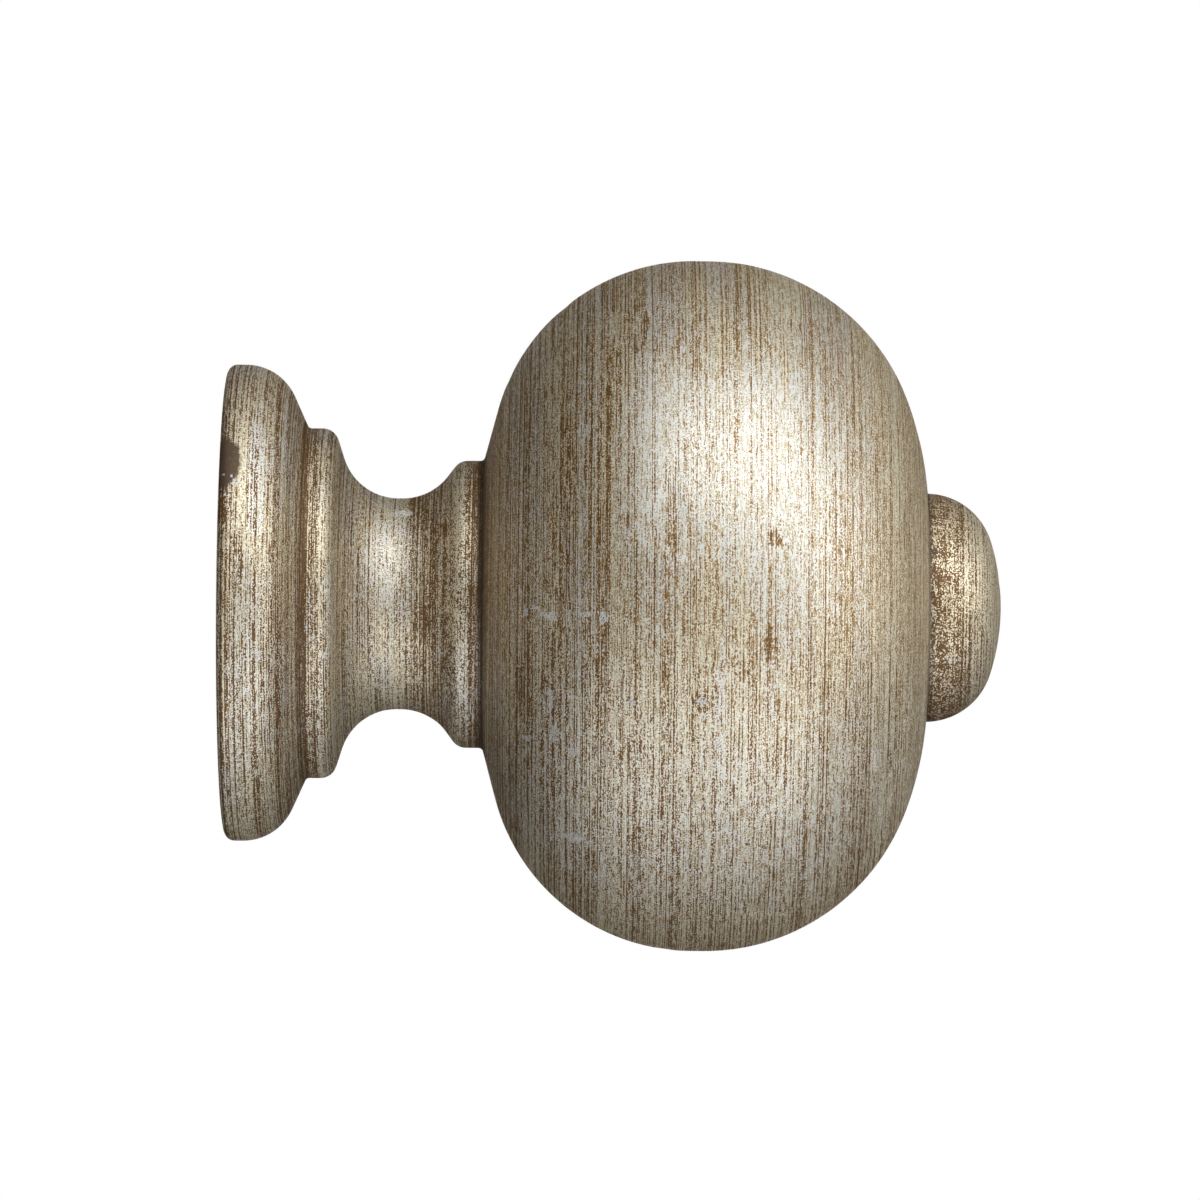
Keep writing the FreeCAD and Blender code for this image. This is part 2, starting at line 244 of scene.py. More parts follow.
def lines_round(tree, position, lines, breaks, start, detail):
    """Noise drawn out round the axis: lines per metre along the section, and breaks round the turn."""
    along, out, cosine, sine = round_axis(tree, position)
    place = {
        "X": reckon(tree, "MULTIPLY", along, lines),
        "Y": reckon(tree, "MULTIPLY", out, lines),
        "Z": reckon(tree, "MULTIPLY", cosine, breaks),
    }
    vector = add(tree, "ShaderNodeCombineXYZ", place).outputs[0]
    turn = reckon(tree, "MULTIPLY_ADD", sine, breaks, start)
    inputs = {"Vector": vector, "W": turn, "Scale": 1.0, "Detail": detail, "Roughness": 0.55}
    return add(tree, "ShaderNodeTexNoise", inputs, noise_dimensions="4D").outputs[0]


def new_group(name, kind, inputs, outputs):
    """An empty node group with named sockets; returns it with its input and output nodes."""
    group = bpy.data.node_groups.new(name, kind)
    for socket_name, socket_type, value in inputs:
        socket = group.interface.new_socket(socket_name, in_out="INPUT", socket_type=socket_type)
        if value is not None:
            socket.default_value = value
    for socket_name, socket_type in outputs:
        group.interface.new_socket(socket_name, in_out="OUTPUT", socket_type=socket_type)
    return group, group.nodes.new("NodeGroupInput"), group.nodes.new("NodeGroupOutput")


# Fine lines round the axis, which both the leaf and the bare back show.
turned_lines, given, made = new_group(
    "turned_lines",
    "ShaderNodeTree",
    [
        ("Lines per metre", "NodeSocketFloat", 1000.0),
        ("Breaks round", "NodeSocketFloat", 4.0),
        ("Start", "NodeSocketFloat", 0.0),
        ("Detail", "NodeSocketFloat", 2.0),
    ],
    [("Line", "NodeSocketFloat")],
)
object_place = add(turned_lines, "ShaderNodeTexCoord", {}).outputs["Object"]
line = lines_round(
    turned_lines,
    object_place,
    given.outputs["Lines per metre"],
    given.outputs["Breaks round"],
    given.outputs["Start"],
    given.outputs["Detail"],
)
join(turned_lines, made.inputs["Line"], line)

# The value that a noise lies about.
noise_middle = 0.5

# A marked place with a ragged edge, worn, thick, thin, pale or bare, or a painted highlight: 1 in its middle,
# 0 outside its reach.
marked_place, given, made = new_group(
    "marked_place",
    "ShaderNodeTree",
    [
        ("Middle", "NodeSocketVector", (0.0, 0.0, 0.0)),
        ("Reach", "NodeSocketVector", (1.0 * mm, 1.0 * mm, 1.0 * mm)),
        ("Ragged", "NodeSocketFloat", 1.0),
        ("Grain", "NodeSocketFloat", 0.5),
    ],
    [("Marked", "NodeSocketFloat")],
)
object_place = add(marked_place, "ShaderNodeTexCoord", {}).outputs["Object"]
away_inputs = {0: object_place, 1: given.outputs["Middle"]}
away = add(marked_place, "ShaderNodeVectorMath", away_inputs, operation="SUBTRACT").outputs[0]
share_inputs = {0: away, 1: given.outputs["Reach"]}
share = add(marked_place, "ShaderNodeVectorMath", share_inputs, operation="DIVIDE").outputs[0]
far = add(marked_place, "ShaderNodeVectorMath", {0: share}, operation="LENGTH").outputs["Value"]
uneven = reckon(marked_place, "SUBTRACT", given.outputs["Grain"], noise_middle)
edge = reckon(marked_place, "MULTIPLY_ADD", uneven, given.outputs["Ragged"], far)
join(marked_place, made.inputs["Marked"], rise(marked_place, edge, 1.0, 0.8))


def streaks(tree, lines, breaks, start, detail=2.0):
    """Lines round the axis, from the shared group."""
    inputs = {"Lines per metre": lines, "Breaks round": breaks, "Start": start, "Detail": detail}
    return add(tree, "ShaderNodeGroup", inputs, node_tree=turned_lines).outputs["Line"]


def most_marked(tree, places, ragged, grain):
    """The strongest of several marked places, each given in millimetres as a middle and a reach."""
    most = 0.0
    for middle, reach in places:
        inputs = {
            "Middle": [value * mm for value in middle],
            "Reach": [value * mm for value in reach],
            "Ragged": ragged,
            "Grain": grain,
        }
        marked = add(tree, "ShaderNodeGroup", inputs, node_tree=marked_place).outputs["Marked"]
        most = reckon(tree, "MAXIMUM", most, marked)
    return most


def blend_colours(tree, share, first, second):
    """A colour between two others; the Mix node's colour sockets are told apart by their numbers."""
    node = add(tree, "ShaderNodeMix", {0: share}, data_type="RGBA")
    for socket, value in ((node.inputs[6], first), (node.inputs[7], second)):
        join(tree, socket, value)
    return node.outputs[2]


def blend_values(tree, share, first, second):
    """A value between two others, by the numbers of the Mix node's value sockets."""
    node = add(tree, "ShaderNodeMix", {0: share, 2: first, 3: second}, data_type="FLOAT")
    return node.outputs[0]


def along_length(tree, along, stops):
    """A value that follows stops given as millimetres along the axis and a share."""
    ramp = add(tree, "ShaderNodeValToRGB", {0: reckon(tree, "DIVIDE", along, length)})
    elements = ramp.color_ramp.elements
    elements.remove(elements[1])
    elements[0].position = stops[0][0] * mm / length
    elements[0].color = (stops[0][1],) * 3 + (1.0,)
    for place, share in stops[1:]:
        elements.new(place * mm / length).color = (share,) * 3 + (1.0,)
    return ramp.outputs[0]


# The leafed finish of all that shows.
warm_leaf = (0.79, 0.74, 0.585, 1.0)
cool_leaf = (0.73, 0.73, 0.69, 1.0)
tarnished_leaf = (0.51, 0.44, 0.285, 1.0)
ochre_stain = (0.32, 0.178, 0.044, 1.0)
dark_stain = (0.135, 0.062, 0.013, 1.0)
# The near-black crease colour is painted shade.
painted_crease_shade = (0.030, 0.017, 0.007, 1.0)
worn_wood = (0.070, 0.042, 0.020, 1.0)
rubbed_and_lit_wood = (0.15, 0.095, 0.045, 1.0)
pale_ground = (0.68, 0.69, 0.68, 1.0)
leaf_roughness = 0.57
stain_roughness = 0.66
bare_roughness = 0.7
leaf_metal = 0.65
leaf_coat = 0.5
leaf_coat_roughness = 0.5
leaf_bump_strength = 0.5
leaf_bump_depth = 0.06 * mm

leaf = bpy.data.materials.new("rubbed_silver_leaf")
leaf.use_nodes = True
tree = leaf.node_tree
shader = tree.nodes["Principled BSDF"]
object_place = add(tree, "ShaderNodeTexCoord", {}).outputs["Object"]
along, _, _, sine = round_axis(tree, object_place)

# How far a place is turned down: the underside, and the lowest strip of it.
underside = rise(tree, sine, 0.10, -0.70)
# The lowest strip gets less leaf and warmer leaf further on: painted shade along the bottom edge.
lowest = rise(tree, sine, -0.75, -1.0)

# How much leaf is left along the length: little in the creases, by the ball and at the knob's foot.
# In the creases its lows are partly stain and partly painted shade.
leaf_left = along_length(tree, along, [
    (0.0, 0.50), (1.2, 0.46), (5.0, 0.72), (7.6, 0.46), (9.5, 0.42), (9.85, 0.06), (10.4, 0.02),
    (10.9, 0.20), (11.6, 0.34), (12.3, 0.68), (12.9, 0.76), (14.2, 0.48), (17.0, 0.58), (20.4, 0.96),
    (22.6, 0.72), (24.2, 0.16), (27.4, 0.16), (28.8, 0.60), (30.2, 0.62), (31.0, 0.16), (31.9, 0.02),
    (33.4, 0.26), (38.0, 0.45), (50.0, 0.51), (70.0, 0.57), (87.6, 0.53), (88.2, 0.24), (91.2, 0.36),
    (92.0, 0.34), (93.6, 0.62), (97.4, 0.80),
])

# How hard the leaf is broken up along the length: most on the neck and on the knob's side.
# It is less in the creases, so that the stain and the painted shade there lie solid.
broken_up = along_length(tree, along, [
    (0.0, 0.92), (9.5, 0.90), (9.9, 0.45), (10.4, 0.45), (10.9, 0.88), (14.0, 0.84), (22.0, 0.90),
    (24.0, 1.00), (30.6, 1.00), (31.2, 0.50), (32.2, 0.50), (33.4, 0.62), (50.0, 0.51), (70.0, 0.40),
    (87.0, 0.44), (88.4, 0.98), (91.0, 0.92), (92.6, 1.00), (97.4, 0.86),
])

# Where less leaf is left below than above, so that it is darker there: the base and the knob.
darker_below = along_length(tree, along, [
    (8.0, 0.35), (10.0, 0.0), (87.6, 0.0), (88.4, 1.0), (92.0, 0.8), (95.0, 0.0),
])

# Where the leaf broke up in scales and not in lines: the small collar's edge and the knob's side.
in_scales = along_length(tree, along, [
    (26.8, 0.0), (27.6, 0.6), (30.4, 0.6), (31.0, 0.0), (87.9, 0.0), (88.3, 0.85), (90.4, 0.80),
    (93.0, 0.25), (97.4, 0.10),
])

# The grains of the rubbing: drawn out round the turning from threads to grit, or the same all ways.
threads = streaks(tree, 7400.0, 0.8, 3.0, 0.0)
dashes = streaks(tree, 7000.0, 20.0, 23.0, 0.0)
grit = streaks(tree, 7200.0, 150.0, 37.0, 0.0)
strands = streaks(tree, 1000.0, 1.0, 11.0, 1.0)
dimness = streaks(tree, 5600.0, 40.0, 83.0, 0.0)
wandering = streaks(tree, 420.0, 0.4, 61.0, 1.0)
scales = streaks(tree, 5600.0, 50.0, 97.0, 1.0)
specks = even_noise(tree, object_place, 5800.0, 0.0)
patches = even_noise(tree, object_place, 60.0, 3.0)
clumps = even_noise(tree, object_place, 620.0, 2.0)
edge_grain = even_noise(tree, object_place, 1500.0, 2.0)

# Single lines that the tool left deeper, each as millimetres along, half its width and its strength.
# A line has its full strength over the given share of its width.
deep_lines = [
    (6.6, 0.20, 0.18), (7.0, 0.15, 0.20), (7.4, 0.16, 0.22), (7.8, 0.18, 0.25), (8.25, 0.15, 0.25),
    (11.9, 0.25, 0.12), (15.6, 0.20, 0.12), (20.2, 0.25, 0.10), (37.9, 0.60, 0.09), (38.4, 0.20, 0.13),
    (40.7, 0.20, 0.13), (42.15, 0.22, 0.16), (44.1, 0.28, 0.18), (47.5, 0.40, 0.10), (49.8, 0.35, 0.12),
    (50.53, 0.20, 0.10), (56.05, 0.22, 0.24), (58.7, 0.22, 0.15), (62.4, 0.20, 0.11), (65.95, 0.22, 0.17),
    (72.4, 0.35, 0.09), (76.2, 0.24, 0.19), (82.4, 0.22, 0.11),
]
full_strength_share = 0.3
scored = 0.0
for place, half_width, strength in deep_lines:
    away = reckon(tree, "ABSOLUTE", reckon(tree, "SUBTRACT", along, place * mm))
    line = rise(tree, away, half_width * mm, full_strength_share * half_width * mm)
    scored = reckon(tree, "MULTIPLY_ADD", line, strength, scored)
scored = reckon(tree, "MULTIPLY", scored, rise(tree, strands, 0.66, 0.42))

# Places where the leaf is paler, and places where it is rubbed to the stain, as a middle and a reach.
# Two pale places are leaf that lies thicker; the other four are painted highlights where the lamps shine.
thick_and_highlight_places = [
    # Painted highlights on the base, the neck and the knob.
    ((4.8, -23.0, 15.0), (1.6, 9.0, 10.0)),
    ((19.8, -12.0, 5.0), (2.2, 5.0, 6.0)),
    ((92.8, -12.0, 4.0), (1.6, 5.0, 4.5)),
    # A real strip of thicker, paler leaf.
    ((52.9, -36.5, 20.0), (1.7, 9.0, 22.0)),
    # The painted highlight on the ball's upper front.
    ((65.0, -36.0, 17.0), (13.0, 14.0, 17.0)),
    # A real band of thicker, paler leaf.
    ((61.5, -39.0, -14.0), (0.9, 8.0, 13.0)),
]
thin_places = [
    ((0.5, -27.6, 11.6), (0.9, 3.0, 2.6)),
    ((24.7, -14.5, -2.0), (1.2, 2.5, 2.5)),
    ((27.5, -13.0, 9.6), (0.5, 1.5, 0.9)),
    ((37.3, -30.2, -10.4), (0.7, 2.0, 5.0)),
    ((50.5, -38.2, -17.7), (0.5, 2.0, 2.5)),
    ((59.4, -41.9, -11.6), (1.35, 2.0, 1.25)),
    ((64.4, -42.5, -7.6), (1.1, 2.0, 1.3)),
    ((67.6, -42.2, -4.6), (0.8, 2.0, 2.0)),
    ((68.1, -41.5, 8.1), (0.8, 2.0, 1.2)),
]
thick_and_highlight_edge = total(tree, (0.5, strands), (0.2, edge_grain), (0.3, patches))
thick_and_highlit = most_marked(tree, thick_and_highlight_places, 3.4, thick_and_highlight_edge)
thinner = most_marked(tree, thin_places, 2.4, edge_grain)


def spread_of(tree, *noises):
    """The weighted sum of noises, less the value that it lies about."""
    middle_value = noise_middle * sum(weight for weight, noise in noises)
    return reckon(tree, "SUBTRACT", total(tree, *noises), middle_value)


# What the rubbing left: the fine grain, in lines or in scales, and the larger differences.
line_spread = spread_of(
    tree,
    (1.15, threads),
    (0.65, dashes),
    (0.75, grit),
    (0.60, specks),
    (0.10, strands),
    (0.12, patches),
)
scale_spread = spread_of(tree, (1.2, scales), (0.6, specks), (0.3, strands), (0.5, clumps))
spread = blend_values(tree, in_scales, line_spread, scale_spread)
breaking = total(tree, (0.46, underside), (1.16, broken_up))
from_line = reckon(tree, "ABSOLUTE", reckon(tree, "SUBTRACT", wandering, noise_middle))
ochre_lines = rise(tree, from_line, 0.030, 0.006)
ochre_lines = reckon(tree, "MULTIPLY", ochre_lines, rise(tree, strands, 0.62, 0.42))
# How much leaf is left: the rubbing, with more leaf in the painted highlights and less on the lowest strip as
# painted shade.
rubbing_and_painted_light = total(
    tree,
    (2.35, reckon(tree, "MULTIPLY", spread, breaking)),
    (0.80, leaf_left),
    (0.14, thick_and_highlit),
    (0.06, underside),
    # Less leaf on the lowest strip: painted shade along the bottom edge.
    (-0.10, lowest),
    (-0.28, reckon(tree, "MULTIPLY", underside, darker_below)),
    (-0.34, thinner),
    (-0.09, ochre_lines),
    (-0.75, scored),
)

# Half the leaf is left at this value, with a harder edge where it broke up more.
# Well below it, the stain that shows is dark.
half_left = 0.37
dark_step = 0.22
half_step = reckon(tree, "MULTIPLY_ADD", breaking, -0.10, 0.20)
left_from = reckon(tree, "SUBTRACT", half_left, half_step)
left_to = reckon(tree, "ADD", half_left, half_step)
left = rise(tree, rubbing_and_painted_light, left_from, left_to)
dark_from = reckon(tree, "MULTIPLY_ADD", breaking, 0.24, 0.05)
dark = rise(tree, rubbing_and_painted_light, dark_from, reckon(tree, "SUBTRACT", dark_from, dark_step))

# The leaf is cooler in some bands, where it is thick and under the ball, and warmer at the knob's end.
# It is also cooler and less tarnished in the painted highlights, which makes them whiter.
cool_bands = rise(tree, streaks(tree, 260.0, 1.2, 51.0), 0.42, 0.60)
cool_below = reckon(tree, "MULTIPLY", underside, rise(tree, along, 30.0 * mm, 40.0 * mm))
cool_share = reckon(tree, "MAXIMUM", reckon(tree, "MAXIMUM", cool_bands, thick_and_highlit), cool_below)
# No cool leaf on the lowest strip: painted shade along the bottom edge.
cool_share = reckon(tree, "MULTIPLY", cool_share, reckon(tree, "SUBTRACT", 1.0, lowest))
cool_share = reckon(tree, "MULTIPLY", cool_share, rise(tree, along, 87.0 * mm, 76.0 * mm))
leaf_colour = blend_colours(tree, cool_share, warm_leaf, cool_leaf)
tarnish = rise(tree, total(tree, (0.5, dimness), (0.5, specks), (0.035, thick_and_highlit)), 0.60, 0.38)
leaf_colour = blend_colours(tree, tarnish, leaf_colour, tarnished_leaf)
stain_colour = blend_colours(tree, dark, ochre_stain, dark_stain)
colour = blend_colours(tree, left, stain_colour, leaf_colour)

# Painted shade in the creases, near black: at the foot of the base and on both sides of the ball.
crease_shade = along_length(tree, along, [
    (9.5, 0.0), (9.9, 0.30), (10.4, 0.40), (10.9, 0.0), (31.4, 0.0), (31.9, 0.7), (32.4, 0.8),
    (33.2, 0.0), (87.7, 0.0), (88.0, 0.8), (88.15, 0.8), (88.45, 0.0),
])
colour = blend_colours(tree, crease_shade, colour, painted_crease_shade)
rough = blend_values(tree, left, stain_roughness, leaf_roughness)

# The place worn through to the wood at the rim, and a pit in the knob's foot.
bare_places = [((0.2, -24.6, 17.4), (2.75, 5.0, 4.1))]
pit_places = [((88.5, -12.6, 6.9), (0.50, 0.9, 0.62))]
rim_bare = most_marked(tree, bare_places, 0.30, edge_grain)
pit_bare = most_marked(tree, pit_places, 3.0, specks)
bare = reckon(tree, "MAXIMUM", rim_bare, pit_bare)
# The bare patch at the rim is lighter towards the knob: painted shading of its shallow hollow, with the
# wood's own grain in it.
bare_grain_and_shade = total(tree, (0.45 / mm, along), (1.2, edge_grain), (0.8, specks))
bare_colour = blend_colours(tree, rise(tree, bare_grain_and_shade, 1.2, 2.6), worn_wood, rubbed_and_lit_wood)
bare_colour = blend_colours(tree, pit_bare, bare_colour, worn_wood)
colour = blend_colours(tree, bare, colour, bare_colour)

# Places rubbed down to the pale ground, and pale flecks on the underside.
pale_places = [
    ((0.65, -25.5, 15.7), (0.22, 1.0, 0.22)), ((1.7, -25.6, 15.6), (0.2, 1.0, 0.2)),
    ((2.2, -25.7, 14.9), (0.5, 1.5, 0.5)), ((4.8, -13.7, 24.8), (1.1, 2.0, 0.3)),
    ((6.2, -10.0, 25.6), (0.7, 2.0, 0.2)), ((5.0, -27.5, -6.2), (0.7, 2.0, 0.9)),
    ((13.1, -21.1, 2.6), (0.5, 1.5, 0.4)), ((13.2, -21.1, 1.5), (0.5, 1.5, 0.35)),
    ((13.2, -20.2, -6.4), (0.5, 2.0, 0.5)), ((22.5, -7.4, 11.4), (1.4, 2.0, 0.35)),
    ((37.95, -32.8, -0.75), (0.3, 2.0, 0.9)), ((38.95, -34.1, -0.25), (0.6, 2.0, 0.3)),
    ((40.1, -35.4, -1.1), (0.6, 2.0, 0.3)), ((41.2, -36.5, -1.45), (0.7, 2.0, 0.55)),
    ((45.3, -39.6, -1.05), (1.0, 2.0, 0.35)), ((47.5, -40.85, -1.4), (0.6, 2.0, 0.9)),
    ((41.0, -34.5, -11.5), (0.45, 2.0, 1.6)), ((41.6, -33.4, -15.6), (0.6, 2.0, 1.5)),
    ((38.3, -29.1, -16.3), (0.9, 2.0, 0.35)), ((43.9, -34.25, -17.85), (0.9, 2.0, 0.6)),
    ((43.9, -26.2, -28.6), (1.3, 2.0, 0.7)), ((50.96, -40.6, -11.75), (0.6, 2.0, 0.5)),
    ((59.45, -41.9, -11.4), (0.75, 1.5, 0.65)), ((59.6, -41.3, -13.4), (0.4, 1.5, 0.4)),
    ((61.9, -42.9, 6.6), (0.5, 2.0, 1.8)),
]
fleck_strength = 0.35
pale_strength = 0.8
flecks = rise(tree, streaks(tree, 420.0, 14.0, 71.0), 0.56, 0.68)
flecks = reckon(tree, "MULTIPLY", reckon(tree, "MULTIPLY", flecks, underside), fleck_strength)
pale = reckon(tree, "MAXIMUM", most_marked(tree, pale_places, 1.6, edge_grain), flecks)
pale = reckon(tree, "MULTIPLY", pale, rise(tree, specks, 0.34, 0.46))
colour = blend_colours(tree, reckon(tree, "MULTIPLY", pale, pale_strength), colour, pale_ground)

# Bare and pale places have no leaf, so they are dull.
dulled = reckon(tree, "MAXIMUM", bare, pale)
metal = blend_values(tree, dulled, leaf_metal, 0.0)
rough = blend_values(tree, dulled, rough, bare_roughness)
join(tree, shader.inputs["Coat Weight"], blend_values(tree, dulled, leaf_coat, 0.0))
shader.inputs["Coat Roughness"].default_value = leaf_coat_roughness
join(tree, shader.inputs["Base Color"], colour)
join(tree, shader.inputs["Metallic"], metal)
join(tree, shader.inputs["Roughness"], rough)
scaly = reckon(tree, "MULTIPLY", scales, in_scales)
height = total(
    tree,
    (0.4, threads),
    (0.4, dashes),
    (0.5, grit),
    (0.4, specks),
    (0.6, scaly),
    (-0.5, rim_bare),
)
bump_inputs = {"Strength": leaf_bump_strength, "Distance": leaf_bump_depth, "Height": height}
bump = add(tree, "ShaderNodeBump", bump_inputs)
join(tree, shader.inputs["Normal"], bump.outputs[0])

# The bare flat back and the drilled hole: end grain, with the growth rings about a pith outside the blank.
late_wood = (0.27, 0.165, 0.085, 1.0)
early_wood = (0.50, 0.36, 0.21, 1.0)
drilled_and_shaded_wood = (0.16, 0.095, 0.050, 1.0)
pith_place = (0.0, 34.0 * mm, -52.0 * mm)
ring_width = 2.3 * mm
stain_from = rim - 0.4 * mm
stain_to = rim + 1.0 * mm
wood_roughness = 0.75
wood_bump_strength = 0.4
wood_bump_depth = 0.08 * mm
wood = bpy.data.materials.new("bare_end_grain")
wood.use_nodes = True
tree = wood.node_tree
shader = tree.nodes["Principled BSDF"]
object_place = add(tree, "ShaderNodeTexCoord", {}).outputs["Object"]
along, out, _, _ = round_axis(tree, object_place)
wander = even_noise(tree, object_place, 55.0, 2.0)
fibres = even_noise(tree, object_place, 2600.0, 1.0)
clouds = even_noise(tree, object_place, 160.0, 3.0)
saw_lines = streaks(tree, 1100.0, 1.0, 5.0)
flat_inputs = {0: object_place, 1: (0.0, 1.0, 1.0)}
flat_place = add(tree, "ShaderNodeVectorMath", flat_inputs, operation="MULTIPLY").outputs[0]
pith_inputs = {0: flat_place, 1: pith_place}
from_pith = add(tree, "ShaderNodeVectorMath", pith_inputs, operation="DISTANCE").outputs["Value"]
years = reckon(tree, "FRACT", total(tree, (1.0 / ring_width, from_pith), (1.6, wander)))
late_share = reckon(tree, "POWER", years, 3.0)
shade = total(tree, (0.45, late_share), (0.55, fibres), (0.25, saw_lines), (0.30, clouds))
colour = blend_colours(tree, rise(tree, shade, 0.95, 0.40), late_wood, early_wood)
stained_edge = total(tree, (1.0, out), (4.0 * mm, clouds), (1.5 * mm, fibres))
stained = rise(tree, stained_edge, stain_from, stain_to)
colour = blend_colours(tree, stained, colour, dark_stain)
# Down the hole the wood darkens to the drilled colour: partly the side grain's own colour, partly painted
# shade in the hole.
colour = blend_colours(tree, rise(tree, along, 0.2 * mm, 4.0 * mm), colour, drilled_and_shaded_wood)
join(tree, shader.inputs["Base Color"], colour)
shader.inputs["Roughness"].default_value = wood_roughness
height = total(tree, (0.5, fibres), (0.5, saw_lines))
bump_inputs = {"Strength": wood_bump_strength, "Distance": wood_bump_depth, "Height": height}
bump = add(tree, "ShaderNodeBump", bump_inputs)
join(tree, shader.inputs["Normal"], bump.outputs[0])

# The lathe: it carries the section round the axis and lets in the shallow wear.
merge_distance = 0.002 * mm
back_depth = 0.005 * mm
sharp_angle = math.radians(38.0)
lathe, given, made = new_group(
    "turn_on_lathe",
    "GeometryNodeTree",
    [
        ("Section", "NodeSocketGeometry", None),
        ("Rings", "NodeSocketInt", 2),
        ("Steps round", "NodeSocketInt", 64),
        ("Ridge depth", "NodeSocketFloat", 0.0),
        ("Ridges per metre", "NodeSocketFloat", 500.0),
        ("Dent depth", "NodeSocketFloat", 0.0),
        ("Dents per metre", "NodeSocketFloat", 100.0),
        ("Hole radius", "NodeSocketFloat", 0.0),
        ("Hole depth", "NodeSocketFloat", 0.0),
        ("Seed", "NodeSocketFloat", 0.0),
        ("Leaf", "NodeSocketMaterial", None),
        ("Bare wood", "NodeSocketMaterial", None),
    ],
    [("Turned", "NodeSocketGeometry")],
)
around = reckon(lathe, "ADD", given.outputs["Steps round"], 1.0)
sheet = add(lathe, "GeometryNodeMeshGrid", {"Vertices X": given.outputs["Rings"], "Vertices Y": around})
count = add(lathe, "GeometryNodeInputIndex", {}).outputs[0]
ring = reckon(lathe, "FLOOR", reckon(lathe, "DIVIDE", reckon(lathe, "ADD", count, 0.5), around))
step = reckon(lathe, "SUBTRACT", count, reckon(lathe, "MULTIPLY", ring, around))
turn = reckon(lathe, "MULTIPLY", reckon(lathe, "DIVIDE", step, given.outputs["Steps round"]), math.tau)
section_place = add(lathe, "GeometryNodeInputPosition", {}).outputs[0]
cut_inputs = {"Geometry": given.outputs["Section"], "Index": ring}
cut = add(lathe, "GeometryNodeSampleIndex", cut_inputs, data_type="FLOAT_VECTOR", domain="POINT")
join(lathe, cut.inputs["Value"], section_place)
cut_parts = add(lathe, "ShaderNodeSeparateXYZ", {0: cut.outputs[0]}).outputs
turned_place = add(lathe, "ShaderNodeCombineXYZ", {
    "X": cut_parts["X"],
    "Y": reckon(lathe, "MULTIPLY", cut_parts["Y"], reckon(lathe, "COSINE", turn)),
    "Z": reckon(lathe, "MULTIPLY", cut_parts["Y"], reckon(lathe, "SINE", turn)),
}).outputs[0]
carried = add(lathe, "GeometryNodeSetPosition", {"Geometry": sheet.outputs["Mesh"], "Position": turned_place})
faced = add(lathe, "GeometryNodeFlipFaces", {"Mesh": carried.outputs[0]})
closed = add(lathe, "GeometryNodeMergeByDistance", {"Geometry": faced.outputs[0], "Distance": merge_distance})

# Ridges and dents go inwards only, and keep clear of the flat back and the hole.
along, out, _, _ = round_axis(lathe, section_place)
past_back = rise(lathe, along, 0.4 * mm, 1.4 * mm)
past_depth = reckon(lathe, "SUBTRACT", along, given.outputs["Hole depth"])
past_radius = reckon(lathe, "SUBTRACT", out, given.outputs["Hole radius"])
past_hole = reckon(lathe, "GREATER_THAN", reckon(lathe, "MAXIMUM", past_depth, past_radius), 0.0)
ridges = lines_round(lathe, section_place, given.outputs["Ridges per metre"], 0.4, given.outputs["Seed"], 1.0)
dents = rise(lathe, even_noise(lathe, section_place, given.outputs["Dents per metre"], 0.0), 0.66, 0.80)
depth = total(lathe, (given.outputs["Ridge depth"], ridges), (given.outputs["Dent depth"], dents))
depth = reckon(lathe, "MULTIPLY", depth, reckon(lathe, "MULTIPLY", past_back, past_hole))
outward = add(lathe, "GeometryNodeInputNormal", {}).outputs[0]
inward_inputs = {0: outward, "Scale": reckon(lathe, "MULTIPLY", depth, -1.0)}
inward = add(lathe, "ShaderNodeVectorMath", inward_inputs, operation="SCALE").outputs[0]
worn_in = add(lathe, "GeometryNodeSetPosition", {"Geometry": closed.outputs[0], "Offset": inward})

# Smooth all over but at the edges of the back and the hole.
smooth = add(lathe, "GeometryNodeSetShadeSmooth", {"Geometry": worn_in.outputs[0]}, domain="FACE")
corner = add(lathe, "GeometryNodeInputMeshEdgeAngle", {}).outputs[0]
sharp = reckon(lathe, "GREATER_THAN", corner, sharp_angle)
crease_inputs = {"Geometry": smooth.outputs[0], "Selection": sharp, "Shade Smooth": False}
creased = add(lathe, "GeometryNodeSetShadeSmooth", crease_inputs, domain="EDGE")
whole = add(lathe, "GeometryNodeRealizeInstances", {"Geometry": creased.outputs[0]})
leaf_inputs = {"Geometry": whole.outputs[0], "Material": given.outputs["Leaf"]}
leafed = add(lathe, "GeometryNodeSetMaterial", leaf_inputs)
on_back = reckon(lathe, "LESS_THAN", along, back_depth)
is_bare = reckon(lathe, "MAXIMUM", on_back, reckon(lathe, "SUBTRACT", 1.0, past_hole))
bare_inputs = {"Geometry": leafed.outputs[0], "Selection": is_bare, "Material": given.outputs["Bare wood"]}
bared = add(lathe, "GeometryNodeSetMaterial", bare_inputs)
join(lathe, made.inputs["Turned"], bared.outputs[0])

# The half section is a line of edges. What the lathe makes of it is the piece, and the line is removed.
blank_mesh = bpy.data.meshes.new("finial_section")
section_edges = [(k, k + 1) for k in range(len(section) - 1)]
blank_mesh.from_pydata([(x, r, 0.0) for x, r in section], section_edges, [])
blank = bpy.data.objects.new("finial_section", blank_mesh)
bpy.context.scene.collection.objects.link(blank)
turning = blank.modifiers.new("turning", "NODES")
turning.node_group = lathe
